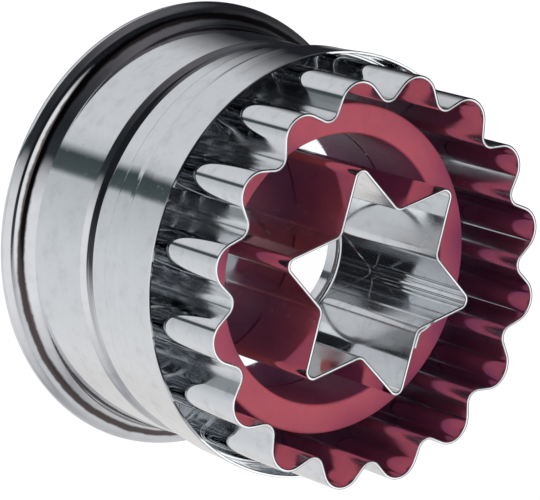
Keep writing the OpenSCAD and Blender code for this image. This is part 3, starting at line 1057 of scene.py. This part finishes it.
class LINZER_OT_studio_stage(bpy.types.Operator):
    """Set up the pale floor, the soft studio light and the camera"""

    bl_idname = "linzer.studio_stage"
    bl_label = "Studio Stage"

    camera_place = Vector((115.2, -238.0, 329.0)) * MM
    aim = Vector((1.19, -2.29, 20.0)) * MM

    def execute(self, context):
        settings = context.scene.linzer_studio
        context.scene.view_settings.view_transform = "Standard"
        self.floor()
        self.surroundings(context.scene, settings.ambient)
        self.soft_light()
        self.camera(context.scene, settings)
        return {"FINISHED"}

    def floor(self):
        clear_selection()
        bpy.ops.mesh.primitive_plane_add(size=12.0, location=(0.0, 0.0, -0.02 * MM))
        floor = new_piece("studio_floor")
        material = bpy.data.materials.new("pale_floor")
        material.use_nodes = True
        shader = material.node_tree.nodes["Principled BSDF"]
        shader.inputs["Base Color"].default_value = (0.12, 0.12, 0.10, 1.0)
        shader.inputs["Roughness"].default_value = 0.9
        shader.inputs["Emission Color"].default_value = (1.0, 1.0, 1.0, 1.0)
        shader.inputs["Emission Strength"].default_value = 0.97
        floor.data.materials.append(material)
        floor.visible_glossy = False

    def surroundings(self, scene, ambient):
        """Mirror surfaces see a room of soft panels and dark gaps; matt surfaces see an even, bluish light."""
        world = bpy.data.worlds.new("soft_studio")
        scene.world = world
        world.use_nodes = True
        world.cycles.sampling_method = "NONE"
        tree = world.node_tree
        tree.nodes.clear()

        def add(kind, **settings):
            node = tree.nodes.new("ShaderNode" + kind)
            for key, value in settings.items():
                setattr(node, key, value)
            return node

        def share_of(value, low, high):
            node = add("MapRange")
            tree.links.new(value, node.inputs[0])
            node.inputs[1].default_value = low
            node.inputs[2].default_value = high
            return node.outputs[0]

        def mixed(kind, factor, first, second, **settings):
            node = add(kind, **settings)
            plugs = [plug for plug in node.inputs if plug.enabled]
            for plug, value in zip(plugs[-2:], (first, second)):
                tree.links.new(value, plug)
            tree.links.new(factor, plugs[0])
            return next(plug for plug in node.outputs if plug.enabled)

        way = add("SeparateXYZ")
        tree.links.new(add("TexCoord").outputs["Generated"], way.inputs[0])
        bearing = add("Math", operation="ARCTAN2")
        tree.links.new(way.outputs["Y"], bearing.inputs[0])
        tree.links.new(way.outputs["X"], bearing.inputs[1])
        bearing_share = share_of(bearing.outputs[0], -math.pi, math.pi)
        rooms = []
        for panels in (LOW_PANELS, SIDE_PANELS, HIGH_PANELS):
            ramp = add("ValToRGB")
            fill_ramp(ramp, [((degrees + 180.0) / 360.0, light) for degrees, light in panels])
            tree.links.new(bearing_share, ramp.inputs[0])
            rooms.append(ramp.outputs[0])
        below = mixed("Mix", share_of(way.outputs["Z"], -0.70, -0.63), rooms[0], rooms[1], data_type="RGBA")
        middle = mixed("Mix", share_of(way.outputs["Z"], 0.60, 0.72), below, rooms[2], data_type="RGBA")
        ceiling = add("RGB")
        ceiling.outputs[0].default_value = CEILING_LIGHT
        overhead = share_of(way.outputs["Z"], 0.93, 0.97)
        room = mixed("Mix", overhead, middle, ceiling.outputs[0], data_type="RGBA")
        mirror_light, even_light, backdrop = add("Background"), add("Background"), add("Background")
        tree.links.new(room, mirror_light.inputs["Color"])
        even_light.inputs["Color"].default_value = EVEN_LIGHT
        even_light.inputs["Strength"].default_value = ambient
        backdrop.inputs["Color"].default_value = (1.0, 1.0, 1.0, 1.0)
        path = add("LightPath")
        first_mirror = add("Math", operation="GREATER_THAN")
        tree.links.new(path.outputs["Is Glossy Ray"], first_mirror.inputs[0])
        tree.links.new(path.outputs["Diffuse Depth"], first_mirror.inputs[1])
        lit = mixed("MixShader", first_mirror.outputs[0], even_light.outputs[0], mirror_light.outputs[0])
        seen = mixed("MixShader", path.outputs["Is Camera Ray"], lit, backdrop.outputs[0])
        tree.links.new(seen, add("OutputWorld").inputs["Surface"])
        scene.cycles.glossy_bounces = 8

    def soft_light(self):
        """A large soft lamp above and behind, which shapes the plastic and lays a faint shadow."""
        bpy.ops.object.light_add(type="AREA", location=(-0.25, 0.45, 0.75))
        lamp = bpy.context.object
        lamp.name = "soft_top_lamp"
        lamp.data.shape = "DISK"
        lamp.data.size = 0.6
        lamp.data.energy = LAMP_WATTS
        lamp.data.color = LAMP_LIGHT
        lamp.rotation_euler = (Vector((0.0, 0.0, 0.02)) - lamp.location).to_track_quat("-Z", "Y").to_euler()
        lamp.visible_camera = False
        lamp.visible_glossy = False

    def camera(self, scene, settings):
        bpy.ops.object.camera_add(location=self.camera_place)
        camera = bpy.context.object
        camera.name = "studio_camera"
        line = (self.aim - self.camera_place).normalized()
        level = line.cross(Vector((0.0, 0.0, 1.0))).normalized()
        upright = level.cross(line)
        up = upright * math.cos(settings.roll) + level * math.sin(settings.roll)
        right = line.cross(up)
        turn = Matrix((right, up, -line)).transposed()
        camera.matrix_world = Matrix.Translation(self.camera_place) @ turn.to_4x4()
        camera.data.lens = settings.lens
        camera.data.sensor_width = 36.0
        camera.data.sensor_fit = "HORIZONTAL"
        camera.data.clip_start = 0.01
        camera.data.clip_end = 50.0
        scene.camera = camera


EVEN_LIGHT = (0.33, 0.285, 1.0, 1.0)
CEILING_LIGHT = (0.85, 0.85, 0.86, 1.0)
LAMP_LIGHT = (1.0, 0.92, 0.40)
LAMP_WATTS = 5.4

# Bearings in degrees and the light that comes from them: from below, from the sides and from above.
LOW_PANELS = [
    (-180.0, (0.25, 0.25, 0.26)), (-160.0, (0.62, 0.63, 0.65)), (-97.0, (0.68, 0.69, 0.71)),
    (-87.0, (0.58, 0.60, 0.62)), (-82.0, (0.05, 0.065, 0.07)), (-72.0, (0.07, 0.09, 0.095)),
    (-69.0, (0.52, 0.54, 0.56)), (-34.0, (0.68, 0.70, 0.72)), (28.0, (0.78, 0.78, 0.79)),
    (49.0, (0.76, 0.74, 0.73)), (110.0, (0.80, 0.78, 0.77)), (127.0, (0.30, 0.30, 0.30)),
    (138.0, (0.02, 0.02, 0.025)), (160.0, (0.015, 0.016, 0.02)), (172.0, (0.12, 0.12, 0.13)),
    (180.0, (0.25, 0.25, 0.26)),
]
SIDE_PANELS = [
    (-180.0, (0.02, 0.02, 0.025)), (-163.0, (0.10, 0.10, 0.11)), (-140.0, (0.13, 0.12, 0.13)),
    (-115.0, (0.05, 0.05, 0.055)), (-92.0, (0.02, 0.022, 0.025)), (-75.0, (0.03, 0.035, 0.04)),
    (-66.0, (0.50, 0.50, 0.52)), (-52.0, (0.80, 0.80, 0.82)), (-10.0, (0.85, 0.85, 0.87)),
    (18.0, (0.62, 0.62, 0.64)), (34.0, (0.38, 0.38, 0.40)), (52.0, (0.55, 0.55, 0.56)),
    (80.0, (0.66, 0.66, 0.67)), (100.0, (0.40, 0.40, 0.41)), (116.0, (0.05, 0.05, 0.055)),
    (150.0, (0.06, 0.06, 0.065)), (168.0, (0.02, 0.02, 0.022)), (180.0, (0.02, 0.02, 0.025)),
]
HIGH_PANELS = [
    (-180.0, (0.012, 0.013, 0.016)), (-120.0, (0.012, 0.013, 0.016)), (-60.0, (0.014, 0.015, 0.018)),
    (-25.0, (0.06, 0.06, 0.065)), (-8.0, (0.45, 0.45, 0.47)), (30.0, (0.62, 0.63, 0.65)),
    (75.0, (0.62, 0.63, 0.65)), (98.0, (1.25, 1.25, 1.25)), (122.0, (1.25, 1.25, 1.25)),
    (129.0, (0.25, 0.25, 0.26)), (133.0, (0.015, 0.016, 0.02)), (180.0, (0.012, 0.013, 0.016)),
]


# ---------------------------------------------------------------- panel


PIECES = (
    LINZER_OT_housing_shell,
    LINZER_OT_rim_wire,
    LINZER_OT_front_band,
    LINZER_OT_cutter_plate,
    LINZER_OT_fluted_cutter,
    LINZER_OT_star_cutter,
    LINZER_OT_spring_seat,
    LINZER_OT_return_spring,
    LINZER_OT_ejector_ring,
    LINZER_OT_push_ring,
    LINZER_OT_push_ring_screws,
    LINZER_OT_studio_stage,
)


class LINZER_PT_cutter(bpy.types.Panel):
    """Lists the cutter's pieces and the settings they are built from"""

    bl_label = "Linzer Biscuit Cutter"
    bl_idname = "LINZER_PT_cutter"
    bl_space_type = "VIEW_3D"
    bl_region_type = "UI"
    bl_category = "Linzer Cutter"

    def draw(self, context):
        for operator in PIECES:
            self.layout.operator(operator.bl_idname)
        for name, group in SETTINGS.items():
            box = self.layout.box()
            for field in group.__annotations__:
                box.prop(getattr(context.scene, name), field)


CLASSES = (*SETTINGS.values(), *PIECES, LINZER_PT_cutter)


def register():
    for cls in CLASSES:
        bpy.utils.register_class(cls)
    for name, group in SETTINGS.items():
        setattr(bpy.types.Scene, name, bpy.props.PointerProperty(type=group))


def unregister():
    for name in SETTINGS:
        delattr(bpy.types.Scene, name)
    for cls in reversed(CLASSES):
        bpy.utils.unregister_class(cls)


def main():
    register()
    for operator in PIECES:
        group, name = operator.bl_idname.split(".")
        getattr(getattr(bpy.ops, group), name)()


if __name__ == "__main__":
    main()
